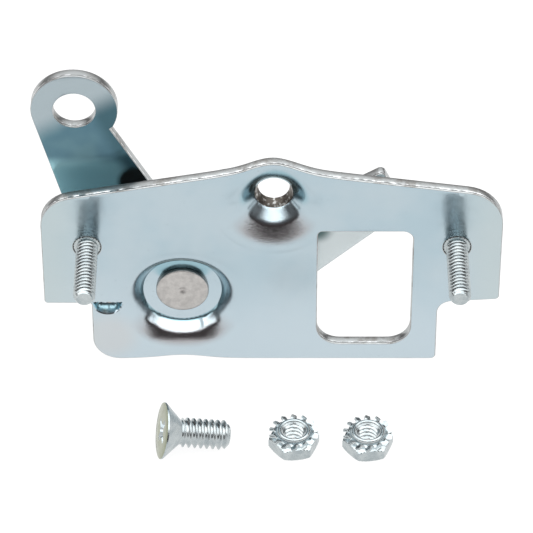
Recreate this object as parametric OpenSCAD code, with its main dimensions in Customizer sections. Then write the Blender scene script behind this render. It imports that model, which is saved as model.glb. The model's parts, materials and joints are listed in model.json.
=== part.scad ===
// Gate latch bell-crank plate: a stamped steel plate with two clinched studs and a riveted
// lever behind it, with the loose nuts and the countersunk screw that fit it to a panel.
// The origin is midway between the studs on the plate's front face. +X runs along the
// studs' row, +Z is up and the studs point along -Y. The lever lies behind, at +Y.

/* [Plate] */
// Thickness of the plate's sheet
plate_t = 2.5; // [1.5:0.1:3]
// Left edge of the plate
plate_left = -50.65; // [-54:0.05:-49]
// Right edge of the plate
plate_right = 50.5; // [49:0.05:54]
// Bottom edge of the plate
plate_bottom = -33.25; // [-36:0.05:-31]
// Height of the top edge's ridge, before it is rounded
ridge_z = 21.85; // [21:0.05:24]
// Place of the top edge's ridge along X
ridge_x = -1.8; // [-4:0.1:4]
// Height of the top edge at the left end
shoulder_left_z = 12.7; // [10:0.1:15]
// Height of the top edge at the right end
shoulder_right_z = 14.35; // [10:0.05:15]
// Corner radius at the top left
corner_left_r = 8; // [2:0.5:10]
// Corner radius at the top right
corner_right_r = 9; // [2:0.5:10]
// Left edge of the lower lobe
lobe_left = -40.15; // [-42:0.05:-38]
// Right edge of the lower lobe
lobe_right = 36.9; // [35:0.1:39]
// Underside of the left wing
wing_left_z = -16.5; // [-19:0.1:-14]
// Underside of the right wing, at its outer end
wing_right_z = -15.3; // [-18:0.1:-14]
// Corner radius at the lower lobe's left
lobe_r = 6; // [2:0.5:9]

/* [Window] */
// Left side of the window
window_left = 10.05; // [9:0.05:12]
// Right side of the window
window_right = 31; // [26:0.5:33]
// Underside of the window
window_bottom = -28.7; // [-30:0.1:-20]
// Top of the window
window_top = 4.4; // [0:0.1:6]
// Corner radius at the window's foot
window_foot_r = 5.2; // [1:0.1:6]

/* [Pivot dimple] */
// Pivot's place along X
pivot_x = -20; // [-22:0.1:-18]
// Pivot's height
pivot_z = -16.3; // [-18:0.1:-15]
// Depth of the pivot dimple's floor below the front face
pivot_depth = 4.6; // [4:0.1:5]
// Radius of the pivot dimple's flat floor
pivot_floor_r = 8.8; // [7:0.1:10]
// Radius where the pivot dimple runs out
pivot_rim_r = 15; // [13:0.5:16]

/* [Screw dimple] */
// Screw hole's place along X
screw_hole_x = 0.4; // [-1:0.1:2]
// Screw hole's height
screw_hole_z = 11.8; // [11:0.1:13]
// Depth of the screw dimple's floor below the front face
screw_hole_depth = 4.5; // [3:0.1:4.6]
// Radius of the screw's clearance hole
screw_hole_r = 3.58; // [3.3:0.01:4]
// Radius where the screw dimple runs out
screw_rim_r = 12.4; // [10:0.1:13]

/* [Studs] */
// Distance between the two studs
stud_spacing = 81.28; // [76:0.01:84]
// Major radius of the studs' thread
stud_r = 2.413; // [2:0.001:3]
// Length of a stud in front of the plate
stud_l = 17.2; // [10:0.1:25]

/* [Lever] */
// Thickness of the lever's sheet
lever_t = 2.5; // [1.5:0.1:3]
// Gap between the pivot dimple's back and the lever
lever_gap = 0.2; // [0.1:0.05:0.5]
// Rod eye's place along X
eye_x = -42.65; // [-46:0.05:-38]
// Rod eye's height
eye_z = 32.5; // [28:0.1:36]
// Radius of the rod eye's hole
eye_hole_r = 4.57; // [3:0.01:5.5]
// Outer radius of the rod eye
eye_r = 9.4; // [8:0.1:10]

/* [Loose hardware] */
// Distance across the nuts' flats
nut_af = 9.525; // [8:0.005:11]
// Height of the nuts' hexagon
nut_h = 3.2; // [2.5:0.1:4]
// Number of teeth on each lock washer
tooth_count = 14; // [8:1:16]
// Outer radius of the lock washers' teeth
tooth_r = 5.5; // [5:0.05:5.6]
// Overall length of the countersunk screw
screw_l = 15; // [12:0.1:20]
// Radius of the countersunk screw's head
screw_head_r = 6.25; // [5.5:0.01:6.5]
// Major radius of the countersunk screw's thread
screw_r = 3.175; // [2.9:0.005:3.4]

/* [Hidden] */
$fn = 96;
arc_steps = 10;
profile_steps = 12;
tiny = 0.05;
slack = 0.2;

// plate
pivot_curve = 2.3;
screw_floor_r = 4.25;
screw_cone_r = 6.8;
pivot_hole_r = 4;
tab_x = -36.65;
tab_z = -16.45;
tab_r = 3.25;
tab_depth = 2.6;
tab_sphere_r = (pow(tab_r, 2) + pow(tab_depth, 2)) / (2 * tab_depth);
tab_thinning = 0.3;

// studs
stud_tip = 1.1;
stud_tip_r = 1.7;
knurl_r = 3.05;
stud_head_r = 3.9;
stud_head_h = 0.9;
fit_gap = 0.03;

// lever and rivet
lever_y = pivot_depth + plate_t + lever_gap;
lever_foot_z = plate_bottom + 1;
rivet_shank_r = 3.95;
rivet_shoulder_r = 4.95;
lever_hole_r = 5;
rivet_head_r = 5.9;
rivet_head_h = 1;
rivet_back_r = 7;
rivet_back_h = 1.6;

// nuts and lock washers
nut_bore_r = 1.97;
nut_bell_r = 2.7;
nut_left_pos = [4.8, -28.1];
nut_right_pos = [21, -28.4];
nut_turn = 8;
collar_r = 3.2;
collar_flare_r = 3.58;
collar_h = 1.7;
washer_hole_r = 3.32;
washer_ring_r = 4.3;
washer_t = 0.5;
washer_lift = 0.6;
tooth_w = 1.3;
tooth_twist = 28;

// screw
screw_rim_h = 0.4;
screw_neck_r = 2.72;
screw_head_l = 4.05;
screw_neck_l = 4.7;
screw_tip_l = 0.8;
screw_tip_r = 2.3;
screw_tilt = atan((screw_head_r - screw_r) / (screw_l - screw_tip_l - screw_rim_h));
screw_turn = 7.4;
screw_pos = [-24.1, -29.95];
recess_w = 1.25;
recess_r = 3.1;
recess_depth = 2.6;

// points of an outline whose corners [x, z, radius] are rounded by arcs
function corner_arc(a, b, c, r) =
    let (
        p = [b[0], b[1]],
        u = [a[0] - b[0], a[1] - b[1]] / norm([a[0] - b[0], a[1] - b[1]]),
        v = [c[0] - b[0], c[1] - b[1]] / norm([c[0] - b[0], c[1] - b[1]]),
        half = acos(u * v) / 2,
        middle = p + (u + v) / norm(u + v) * r / sin(half),
        start = p + u * r / tan(half),
        turn = sign(u[0] * v[1] - u[1] * v[0]) * (180 - 2 * half),
        from = start - middle
    )
    [for (i = [0:arc_steps])
        let (t = -turn * i / arc_steps)
        middle + [from[0] * cos(t) - from[1] * sin(t), from[0] * sin(t) + from[1] * cos(t)]];

function rounded(corners) =
    let (n = len(corners))
    [for (i = [0:n - 1])
        let (b = corners[i])
        each (b[2] > 0
            ? corner_arc(corners[(i + n - 1) % n], b, corners[(i + 1) % n], b[2])
            : [[b[0], b[1]]])];

// how deep each dimple is at radius r
function pivot_dish(r) =
    r < pivot_floor_r ? pivot_depth :
    pivot_depth * pow(max(0, (pivot_rim_r - r) / (pivot_rim_r - pivot_floor_r)), pivot_curve);
cone_slope = screw_hole_depth / (screw_cone_r - screw_floor_r + (screw_rim_r - screw_cone_r) / 2);
function screw_dish(r) =
    r < screw_floor_r ? screw_hole_depth :
    r < screw_cone_r ? screw_hole_depth - cone_slope * (r - screw_floor_r) :
    cone_slope * pow(max(0, screw_rim_r - r), 2) / (2 * (screw_rim_r - screw_cone_r));

function between(a, b) = [for (i = [0:profile_steps]) a + (b - a) * i / profile_steps];
pivot_radii = concat([0], between(pivot_floor_r, pivot_rim_r));
screw_radii = concat([0, screw_floor_r], between(screw_cone_r, screw_rim_r));

plate_outline = rounded([
    [plate_left, wing_left_z, 0.8],
    [plate_left, shoulder_left_z, corner_left_r],
    [ridge_x, ridge_z, 20],
    [plate_right, shoulder_right_z, corner_right_r],
    [plate_right, wing_right_z, 1],
    [lobe_right, wing_right_z - 0.9, 3.3],
    [lobe_right, plate_bottom, 1.2],
    [lobe_left, plate_bottom, lobe_r],
    [lobe_left, wing_left_z, 0.8]
]);

window_outline = rounded([
    [window_left, window_bottom, window_foot_r],
    [window_left, window_top, 1.1],
    [window_right, window_top, 2.4],
    [window_right, window_bottom, window_foot_r]
]);

lever_outline = rounded([
    [-51.75, 30.15, 0],
    [-35.45, lever_foot_z, 15],
    [-9.8, lever_foot_z, 22],
    [29.4, 4.4, 1.5],
    [24.3, 15.35, 1.2],
    [-15.1, -8.9, 8],
    [-35.1, 27.4, 0],
    [eye_x, eye_z, 0]
]);

// lays a flat outline in the plate's plane, from depth y0 to y1
module slab(y0, y1) {
    translate([0, y1, 0])
        rotate([90, 0, 0])
            linear_extrude(y1 - y0)
                children();
}

// turns a profile [radius, depth] about an axis along Y through [x, z]
module turned(x, z) {
    translate([x, 0, z])
        rotate([-90, 0, 0])
            rotate_extrude()
                children();
}

module disc(x, z, r, y0, y1) {
    translate([x, y0, z])
        rotate([-90, 0, 0])
            cylinder(h = y1 - y0, r = r);
}

// one dimple's sheet, as deep as the dish's depths at its radii
module dish(radii, depths) {
    last = len(radii) - 1;
    polygon(concat(
        [for (i = [0:last]) [radii[i], depths[i]]],
        [for (i = [last:-1:0]) [radii[i], depths[i] + plate_t]]
    ));
}

module pressed_tab_outer() {
    intersection() {
        translate([tab_x, tab_depth - tab_sphere_r, tab_z])
            sphere(r = tab_sphere_r + plate_t - tab_thinning);
        translate([tab_x - 8, 0.5, tab_z - 8])
            cube([16, 8, 8]);
    }
}

module mounting_plate() {
    color("lightsteelblue")
    difference() {
        union() {
            difference() {
                slab(0, plate_t) polygon(plate_outline);
                disc(pivot_x, pivot_z, pivot_rim_r, -1, plate_t + 1);
                disc(screw_hole_x, screw_hole_z, screw_rim_r, -1, plate_t + 1);
            }
            intersection() {
                slab(-1, 12) polygon(plate_outline);
                union() {
                    turned(pivot_x, pivot_z)
                        dish(pivot_radii, [for (r = pivot_radii) pivot_dish(r)]);
                    turned(screw_hole_x, screw_hole_z)
                        dish(screw_radii, [for (r = screw_radii) screw_dish(r)]);
                }
            }
            pressed_tab_outer();
        }
        slab(-1, 12) polygon(window_outline);
        disc(pivot_x, pivot_z, pivot_hole_r, -1, 12);
        disc(screw_hole_x, screw_hole_z, screw_hole_r, -1, 12);
        for (side = [-1, 1]) {
            disc(side * stud_spacing / 2, 0, knurl_r, -1, plate_t + 1);
            disc(side * stud_spacing / 2, 0, stud_head_r, plate_t - stud_head_h, plate_t + 1);
        }
        intersection() {
            translate([tab_x, tab_depth - tab_sphere_r, tab_z])
                sphere(r = tab_sphere_r);
            translate([tab_x - 8, -1, tab_z - 8])
                cube([16, 8, 8]);
        }
    }
}

module stud(side) {
    color("silver")
    turned(side * stud_spacing / 2, 0)
        polygon([
            [0, -stud_l],
            [stud_tip_r, -stud_l],
            [stud_r, -stud_l + stud_tip],
            [stud_r, 0],
            [knurl_r - fit_gap, 0.15],
            [knurl_r - fit_gap, plate_t - stud_head_h + fit_gap],
            [stud_head_r - fit_gap, plate_t - stud_head_h + fit_gap],
            [stud_head_r - fit_gap, plate_t],
            [0, plate_t]
        ]);
}

module pivot_rivet() {
    back = lever_y + lever_t + lever_gap;
    color("darkgray")
    turned(pivot_x, pivot_z)
        polygon([
            [0, pivot_depth - rivet_head_h + 0.35],
            [0.7, pivot_depth - rivet_head_h],
            [rivet_head_r - 0.4, pivot_depth - rivet_head_h],
            [rivet_head_r, pivot_depth - rivet_head_h + 0.4],
            [rivet_head_r, pivot_depth],
            [rivet_shank_r, pivot_depth],
            [rivet_shank_r, pivot_depth + plate_t],
            [rivet_shoulder_r, pivot_depth + plate_t],
            [rivet_shoulder_r, back],
            [rivet_back_r, back],
            [rivet_back_r, back + 0.9],
            [rivet_back_r - 1.2, back + rivet_back_h],
            [0, back + rivet_back_h]
        ]);
}

module bell_crank_lever() {
    color("cadetblue")
    difference() {
        union() {
            slab(lever_y, lever_y + lever_t) polygon(lever_outline);
            disc(eye_x, eye_z, eye_r, lever_y, lever_y + lever_t);
        }
        disc(eye_x, eye_z, eye_hole_r, lever_y - 1, lever_y + lever_t + 1);
        disc(pivot_x, pivot_z, lever_hole_r, lever_y - 1, lever_y + lever_t + 1);
    }
}

// a profile [radius, distance from the head's face], laid along the screw's axis
module screw_solid() {
    rotate([0, 90, 0])
        rotate_extrude()
            polygon([
                [0, 0],
                [screw_head_r, 0],
                [screw_head_r, screw_rim_h],
                [screw_neck_r, screw_head_l],
                [screw_neck_r, screw_neck_l],
                [screw_r, screw_neck_l + 0.4],
                [screw_r, screw_l - screw_tip_l],
                [screw_tip_r, screw_l],
                [0, screw_l]
            ]);
}

module cross_recess() {
    for (turn = [0, 90])
        rotate([turn + 12, 0, 0])
            rotate([90, 0, 0])
                linear_extrude(recess_w, center = true)
                    polygon([[-1, -recess_r], [0, -recess_r], [recess_depth, -recess_w],
                             [recess_depth, recess_w], [0, recess_r], [-1, recess_r]]);
}

module flat_head_screw() {
    centre_z = plate_bottom + screw_head_r * cos(screw_tilt) + screw_rim_h * sin(screw_tilt);
    color("silver")
    translate([screw_pos[0], screw_pos[1], centre_z])
        rotate([0, screw_tilt, screw_turn])
            difference() {
                screw_solid();
                cross_recess();
            }
}

module keps_nut(pos) {
    corner_r = nut_af / 2 / cos(30);
    chamfer = corner_r - nut_af / 2;
    color("silver")
    translate([pos[0], pos[1], plate_bottom])
        difference() {
            union() {
                intersection() {
                    rotate([0, 0, nut_turn])
                        cylinder(h = nut_h, r = corner_r, $fn = 6);
                    rotate_extrude()
                        polygon([[0, 0], [corner_r - chamfer, 0], [corner_r + 0.01, chamfer * 0.6],
                                 [corner_r + 0.01, nut_h - chamfer * 0.4],
                                 [corner_r - chamfer, nut_h], [0, nut_h]]);
                }
                rotate_extrude()
                    polygon([[0, nut_h - 0.5], [collar_r, nut_h - 0.5],
                             [collar_r, nut_h + collar_h - 0.35],
                             [collar_flare_r, nut_h + collar_h - 0.1],
                             [collar_flare_r - 0.1, nut_h + collar_h], [0, nut_h + collar_h]]);
            }
            translate([0, 0, -1])
                cylinder(h = nut_h + collar_h + 2, r = nut_bore_r);
            translate([0, 0, nut_h + collar_h - 0.7])
                cylinder(h = 0.7 + tiny, r1 = nut_bore_r, r2 = nut_bell_r);
            translate([0, 0, -tiny])
                cylinder(h = 0.7 + tiny, r1 = nut_bell_r, r2 = nut_bore_r);
        }
}

module tooth_washer(pos) {
    color("gainsboro")
    translate([pos[0], pos[1], plate_bottom + nut_h + washer_lift])
        difference() {
            union() {
                cylinder(h = washer_t, r = washer_ring_r, center = true);
                for (i = [0:tooth_count - 1])
                    rotate([0, 0, (i + 0.5) * 360 / tooth_count])
                        translate([(washer_ring_r + tooth_r) / 2 - slack, 0, 0])
                            rotate([tooth_twist, 0, 0])
                                cube([tooth_r - washer_ring_r + 2 * slack, tooth_w, washer_t],
                                     center = true);
            }
            cylinder(h = 3, r = washer_hole_r, center = true);
        }
}

mounting_plate();
stud(-1);  // stud_left
stud(1);  // stud_right
pivot_rivet();
bell_crank_lever();
flat_head_screw();
keps_nut(nut_left_pos);  // keps_nut_left
keps_nut(nut_right_pos);  // keps_nut_right
tooth_washer(nut_left_pos);  // tooth_washer_left
tooth_washer(nut_right_pos);  // tooth_washer_right
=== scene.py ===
import json
import math
import random

import bmesh
import bpy
import numpy as np
from mathutils import Matrix, Vector, geometry

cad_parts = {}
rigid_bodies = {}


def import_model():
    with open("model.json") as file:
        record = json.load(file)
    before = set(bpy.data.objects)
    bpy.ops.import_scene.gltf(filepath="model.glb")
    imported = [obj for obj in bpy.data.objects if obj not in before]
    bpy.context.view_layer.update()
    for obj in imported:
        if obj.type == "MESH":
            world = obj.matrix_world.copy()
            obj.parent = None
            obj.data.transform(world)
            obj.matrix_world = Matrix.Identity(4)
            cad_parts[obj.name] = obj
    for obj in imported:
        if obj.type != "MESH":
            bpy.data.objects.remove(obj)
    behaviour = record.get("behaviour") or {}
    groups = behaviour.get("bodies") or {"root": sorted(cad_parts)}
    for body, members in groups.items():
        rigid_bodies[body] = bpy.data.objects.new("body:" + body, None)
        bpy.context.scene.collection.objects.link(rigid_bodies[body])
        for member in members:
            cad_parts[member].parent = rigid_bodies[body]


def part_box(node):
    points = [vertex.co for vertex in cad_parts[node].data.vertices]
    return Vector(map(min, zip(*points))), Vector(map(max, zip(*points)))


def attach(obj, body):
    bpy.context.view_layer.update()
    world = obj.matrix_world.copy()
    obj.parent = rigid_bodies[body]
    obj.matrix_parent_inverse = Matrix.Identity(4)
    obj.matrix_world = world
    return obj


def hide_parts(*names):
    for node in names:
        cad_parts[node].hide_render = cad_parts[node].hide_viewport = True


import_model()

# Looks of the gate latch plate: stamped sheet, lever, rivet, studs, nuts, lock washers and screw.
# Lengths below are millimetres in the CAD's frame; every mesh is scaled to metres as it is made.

MM = 0.001
TAU = 2 * math.pi
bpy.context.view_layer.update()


def box_mm(node):
    """A CAD node's lowest and highest corners, in millimetres."""
    low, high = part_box(node)
    return [c / MM for c in low], [c / MM for c in high]


# ---------------------------------------------------------------- sizes
PLATE_LOW, PLATE_HIGH = box_mm("mounting_plate")
PLATE_T = 2.5
PIVOT_X, PIVOT_Z = -20.0, -16.3
PIVOT_DEPTH = 4.6
PIVOT_FLOOR_R = 8.8
PIVOT_RIM_R = 15.0
PIVOT_CURVE = 2.3
PIVOT_FILLET = 0.7
PIVOT_SHOULDER_R = 15.2
PIVOT_WALL_SLOPE = 1.4
PIVOT_HOLE_R = 4.0
SCREW_X, SCREW_Z = 0.4, 11.8
SCREW_DEPTH = 4.5
SCREW_FLOOR_R = 4.25
SCREW_RIM_R = 12.4
SCREW_HOLE_R = 3.58
CONE_SLOPE = 0.97
HEAD_SEAT = 0.4
RIDGE_DRAW = 2.5
RIDGE_WALL_L = 4.8
STUD_X = 40.64
STUD_HOLE_R = 3.05
TAB_X, TAB_Z = -36.65, -16.45
TAB_R = 3.25
TAB_DEPTH = 2.6
WINDOW_LOW = (10.05, -28.7)
WINDOW_HIGH = (31.0, 4.4)
WINDOW_FOOT_R = 5.2

LEVER_LOW, LEVER_HIGH = box_mm("bell_crank_lever")
LEVER_T = LEVER_HIGH[1] - LEVER_LOW[1]
EYE_X, EYE_Z = -42.65, 32.5
EYE_R = 9.395
EYE_HOLE_R = 4.57
LEVER_HOLE_R = 5.0

STUD_R = 2.413
STUD_PITCH = 1.0583
STUD_TIP_R = 1.7
STUD_TIP_L = 0.9
SHANK_SUNK = 0.2
RIVET_HEAD_R = 5.88
RIVET_SHANK_R = 3.95
THREAD_DEPTH = 0.6134
SCREW_R = 3.175
SCREW_CREST_R = 3.3
SCREW_PITCH = 1.35
SCREW_L = 15.0
SCREW_HEAD_R = 6.25
SCREW_RIM_H = 0.4
SCREW_HEAD_L = 4.05
SCREW_NECK_R = 2.72
SCREW_TIP_L = 0.8
SCREW_THREAD_DEPTH = 0.8
SCREW_NECK_GAP = 0.35
SCREW_POS = (-24.1, -29.95)
SCREW_TURN = math.radians(7.4)
RECESS_TURN = math.radians(12)
# how near its front a face of the head counts as the flat face
FACE_SKIN = 0.05
NUT_AF = 9.75
NUT_H = 3.2
NUT_BORE_R = 1.97
NUT_TURN = math.radians(8)
NUT_POS = {"left": (4.8, -28.1), "right": (21.0, -28.4)}
COLLAR_R = 3.2
COLLAR_FLARE_R = 3.6
COLLAR_H = 1.7
BELL_R = 2.7
TOOTH_COUNT = 14
TOOTH_TWIST = math.radians(28)
WASHER_RING_R = 4.3
WASHER_TIP_R = 5.48
WASHER_HOLE_R = 3.34
WASHER_T = 0.5
WASHER_TOOTH_HALF = 0.66
TOOTH_WAIST_R = 4.8


# The loose pieces lie nearer the plate here than on the real table, so the plate does not mirror them.
LOOSE_BODIES = ("screw", "nut_left", "nut_right", "washer_left", "washer_right")


# ---------------------------------------------------------------- mesh helpers
def dress(name, mesh, body, replaces=(), smooth=38):
    """Links a mesh as a piece and shades it smooth up to an angle."""
    mesh.polygons.foreach_set("use_smooth", [True] * len(mesh.polygons))
    mesh.set_sharp_from_angle(angle=math.radians(smooth))
    piece = bpy.data.objects.new(name, mesh)
    bpy.context.scene.collection.objects.link(piece)
    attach(piece, body)
    piece.visible_glossy = body not in LOOSE_BODIES
    if replaces:
        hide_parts(*replaces)
    return piece


def outward(mesh):
    """Turns every face outward."""
    work = bmesh.new()
    work.from_mesh(mesh)
    bmesh.ops.recalc_face_normals(work, faces=work.faces)
    work.to_mesh(mesh)
    work.free()


def rounded(corners, steps=10):
    """Points of a closed outline whose corners (x, z, radius) are rounded by arcs."""
    points = []
    for i, (x, z, r) in enumerate(corners):
        p = Vector((x, z))
        if r <= 0:
            points.append(p)
            continue
        a = Vector(corners[i - 1][:2])
        b = Vector(corners[(i + 1) % len(corners)][:2])
        u, v = (a - p).normalized(), (b - p).normalized()
        half = u.angle(v) / 2
        middle = p + (u + v).normalized() * (r / math.sin(half))
        start, end = p + u * (r / math.tan(half)), p + v * (r / math.tan(half))
        a0 = math.atan2(*(start - middle).yx)
        a1 = math.atan2(*(end - middle).yx)
        turn = (a1 - a0 + math.pi) % TAU - math.pi
        for k in range(steps + 1):
            t = a0 + turn * k / steps
            points.append(middle + Vector((math.cos(t), math.sin(t))) * r)
    return points


def resampled(points, step):
    """The same closed outline with no stretch longer than step."""
    out = []
    for i, p in enumerate(points):
        q = points[(i + 1) % len(points)]
        n = max(1, math.ceil((q - p).length / step))
        out += [p.lerp(q, k / n) for k in range(n) if (q - p).length > 1e-6]
    return out


def circle(x, z, r, n=72):
    return [Vector((x + r * math.cos(TAU * k / n), z + r * math.sin(TAU * k / n))) for k in range(n)]


def signed_area(points):
    return sum(p.x * q.y - q.x * p.y for p, q in zip(points, points[1:] + points[:1])) / 2


def inset(points, distance, extra):
    """The outline moved into the material by distance plus each point's own extra, in millimetres."""
    out = []
    n = len(points)
    for i, p in enumerate(points):
        before = (p - points[i - 1]).normalized()
        after = (points[(i + 1) % n] - p).normalized()
        normal = Vector((-(before + after).y, (before + after).x)).normalized()
        spread = max(0.35, normal.dot(Vector((-before.y, before.x))))
        out.append(p + normal * ((distance + extra[i]) / spread))
    return out


def inside(points, p):
    """Whether p is within the closed outline."""
    hit = False
    for a, b in zip(points, points[1:] + points[:1]):
        if (a.y > p.y) != (b.y > p.y) and p.x < a.x + (p.y - a.y) * (b.x - a.x) / (b.y - a.y):
            hit = not hit
    return hit


# the cut edge's section from the front face: (inset, depth, how far the inset is torn about) in millimetres
CUT_EDGE = [
    (0.26, 0.0, 0.0),
    (0.1, 0.04, 0.0),
    (0.0, 0.17, 0.0),
    (0.0, 0.42, 0.02),
    (0.04, 0.56, 0.09),
    (0.1, 0.7, 0.1),
    (0.05, 0.86, 0.04),
    (0.03, 1.5, 0.02),
    (0.0, PLATE_T - 0.2, 0.0),
    (0.1, PLATE_T - 0.05, 0.0),
    (0.26, PLATE_T, 0.0),
]
# the screw dimple's bore opens towards the front
FLARED_EDGE = [
    (-0.67, 0.0, 0.0),
    (-0.55, 0.12, 0.02),
    (-0.4, 0.5, 0.06),
    (-0.22, 1.0, 0.1),
    (-0.1, 1.5, 0.1),
    (0.0, 2.0, 0.06),
    (0.0, PLATE_T - 0.1, 0.0),
    (0.1, PLATE_T, 0.0),
]


# twice the area, in square millimetres, under which a triangle is only three points in a line
SLIVER = 1e-4


def sheet_mesh(name, outline, holes, depth, y_front, thickness, seeds, edge=1.0, sections=None):
    """A sheet with rounded cut edges whose face lies at y_front + depth(x, z).

    Its faces lie on material 0 in front, 1 at a cut edge, 2 at the back and 3 in a bore with a section
    of its own.
    """
    loops = [outline if signed_area(outline) > 0 else outline[::-1]]
    loops += [h if signed_area(h) < 0 else h[::-1] for h in holes]
    sections = sections or {}
    verts, across, faces, edge_faces, edge_looks = [], [], [], [], []
    shake = random.Random(17)

    def add(points, lift):
        first = len(verts)
        verts.extend((p.x, y_front + depth(p.x, p.y) + lift, p.y) for p in points)
        across.extend([lift / thickness] * len(points))
        return list(range(first, first + len(points)))

    rims = []
    for number, loop in enumerate(loops):
        rows = []
        section = sections.get(number, CUT_EDGE)
        for step_in, step_back, torn in section:
            push = edge if section is CUT_EDGE else -1.0
            tears = [shake.uniform(0, torn) * edge for _ in loop]
            rows.append(add(inset(loop, step_in * push, tears), step_back * thickness / PLATE_T))
        for a, b in zip(rows, rows[1:]):
            for k in range(len(loop)):
                n = (k + 1) % len(loop)
                edge_faces.append((a[k], a[n], b[n], b[k]))
                edge_looks.append(3 if number in sections else 1)
        push = edge if section is CUT_EDGE else -1.0
        rims.append((inset(loop, section[0][0] * push, [0.0] * len(loop)), rows[0], rows[-1]))

    flat, joins, front_index, back_index = [], [], [], []
    for points, front, back in rims:
        first = len(flat)
        flat += points
        joins += [(first + k, first + (k + 1) % len(points)) for k in range(len(points))]
        front_index += front
        back_index += back
    rim_points = [points for points, _, _ in rims]
    clear = 0.2 * edge
    fixed = np.array([(p.x, p.y) for p in flat])
    for p in seeds:
        near = np.hypot(fixed[:, 0] - p.x, fixed[:, 1] - p.y).min()
        if near < clear or not inside(rim_points[0], p) or any(inside(r, p) for r in rim_points[1:]):
            continue
        flat.append(p)
        front_index.append(None)
        back_index.append(None)
    co, _, tris, source, _, _ = geometry.delaunay_2d_cdt(flat, joins, [], 0, 1e-6)
    front, back = [], []
    for k, p in enumerate(co):
        known = next((i for i in source[k] if front_index[i] is not None), None)
        if known is None:
            front += add([p], 0.0)
            back += add([p], thickness)
        else:
            front.append(front_index[known])
            back.append(back_index[known])
    for a, b, c in tris:
        centre = (co[a] + co[b] + co[c]) / 3
        if not inside(rim_points[0], centre) or any(inside(r, centre) for r in rim_points[1:]):
            continue
        if abs((co[b] - co[a]).cross(co[c] - co[a])) < SLIVER:
            continue
        faces.append((front[a], front[b], front[c]))
        faces.append((back[a], back[c], back[b]))
    mesh = bpy.data.meshes.new(name)
    mesh.from_pydata([tuple(c * MM for c in v) for v in verts], [], faces + edge_faces)
    mesh.polygons.foreach_set("material_index", [0, 2] * (len(faces) // 2) + edge_looks)
    mesh.attributes.new("across", "FLOAT", "POINT").data.foreach_set("value", across)
    mesh.validate()
    outward(mesh)
    return mesh


def grid_seeds(low, high, step, seed):
    """A slightly shaken grid of points, so that the triangles run in no visible rows."""
    shake = random.Random(seed)
    nx, nz = int((high[0] - low[0]) / step), int((high[1] - low[1]) / step)
    return [
        Vector((low[0] + (i + 0.5 * (k % 2)) * step + shake.uniform(-0.1, 0.1) * step, low[1] + k * step))
        for i in range(1, nx)
        for k in range(1, nz)
    ]


def ring_seeds(x, z, r0, r1, step):
    """Points in rings about a dimple's centre."""
    out = []
    rows = max(1, round((r1 - r0) / step))
    for k in range(rows + 1):
        r = r0 + (r1 - r0) * k / rows
        n = max(24, round(TAU * r / (step * 1.5)))
        for j in range(n):
            t = TAU * (j + k % 2 / 2) / n
            out.append(Vector((x + r * math.cos(t), z + r * math.sin(t))))
    return out


# ---------------------------------------------------------------- plate
def smooth_step(t):
    t = min(1.0, max(0.0, t))
    return t * t * (3 - 2 * t)


def fall_curve(start, end, slope_at):
    """Radii, and the share of a wall's whole fall that is behind at each, from its slope along the way."""
    radii = np.linspace(start, end, 240)
    fallen = np.cumsum([slope_at(r - start) for r in radii])
    return radii, fallen / fallen[-1]


# the slope at the top of each dimple's shoulder
PIVOT_SHOULDER_SLOPE = 0.72
SCREW_SHOULDER_SLOPE = 0.5
# how far out each steep wall ends, and the way over which it turns into the shoulder
PIVOT_WALL_L = 1.3
PIVOT_BEND_L = 1.3
CONE_L = 2.0
CONE_BEND_L = 1.2


def pivot_slope(out):
    """Below the pivot dimple's floor: a short fillet, a steep wall and a long shoulder."""
    left = max(0.0, 1 - out / (PIVOT_SHOULDER_R - PIVOT_FLOOR_R))
    shoulder = PIVOT_SHOULDER_SLOPE * left**0.4
    bend = smooth_step((out - PIVOT_WALL_L) / PIVOT_BEND_L)
    steep = PIVOT_WALL_SLOPE + (shoulder - PIVOT_WALL_SLOPE) * bend
    return smooth_step(out / PIVOT_FILLET) * steep


def screw_slope(out):
    """The screw dimple: a cone for the head, then a shoulder."""
    left = max(0.0, 1 - out / (SCREW_RIM_R - SCREW_FLOOR_R))
    shoulder = SCREW_SHOULDER_SLOPE * left**0.25
    return CONE_SLOPE + (shoulder - CONE_SLOPE) * smooth_step((out - CONE_L) / CONE_BEND_L)


PIVOT_FALL = fall_curve(PIVOT_FLOOR_R, PIVOT_SHOULDER_R, pivot_slope)
SCREW_FALL = fall_curve(SCREW_FLOOR_R, SCREW_RIM_R, screw_slope)


def pivot_dish(r, up):
    """The pivot dimple: flared above, a steep wall and a long shoulder below (up runs from 1 to -1)."""
    if r < PIVOT_FLOOR_R:
        return PIVOT_DEPTH
    flared = PIVOT_DEPTH * max(0.0, (PIVOT_RIM_R - r) / (PIVOT_RIM_R - PIVOT_FLOOR_R)) ** PIVOT_CURVE
    below = PIVOT_DEPTH * (1 - np.interp(r, *PIVOT_FALL))
    return flared + (below - flared) * smooth_step((-up - 0.3) / 0.6)


def screw_dish(r):
    return SCREW_DEPTH * (1 - np.interp(r, *SCREW_FALL)) if r > SCREW_FLOOR_R else SCREW_DEPTH


def ridge_draw(x, z):
    """How far the edge above the screw dimple is drawn back with it."""
    rise = smooth_step((z - SCREW_Z + 5.0) / 12.5)
    return RIDGE_DRAW * rise * math.exp(-((x - SCREW_X - 0.6) / 6.4) ** 2)


def screw_hollow(x, z):
    """The screw dimple: conical below the hole, one long slope up to the drawn-back edge above it."""
    r = math.hypot(x - SCREW_X, z - SCREW_Z)
    below = screw_dish(r)
    drawn = ridge_draw(x, z)
    slope = max(0.0, 1 - max(0.0, r - SCREW_FLOOR_R) / RIDGE_WALL_L)
    above = drawn + (SCREW_DEPTH - drawn) * slope**1.75
    up = smooth_step(0.15 + 1.0 * (z - SCREW_Z) / max(r, 0.1))
    return min(SCREW_DEPTH, below + (max(above, drawn) - below) * up if up else below)


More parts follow.
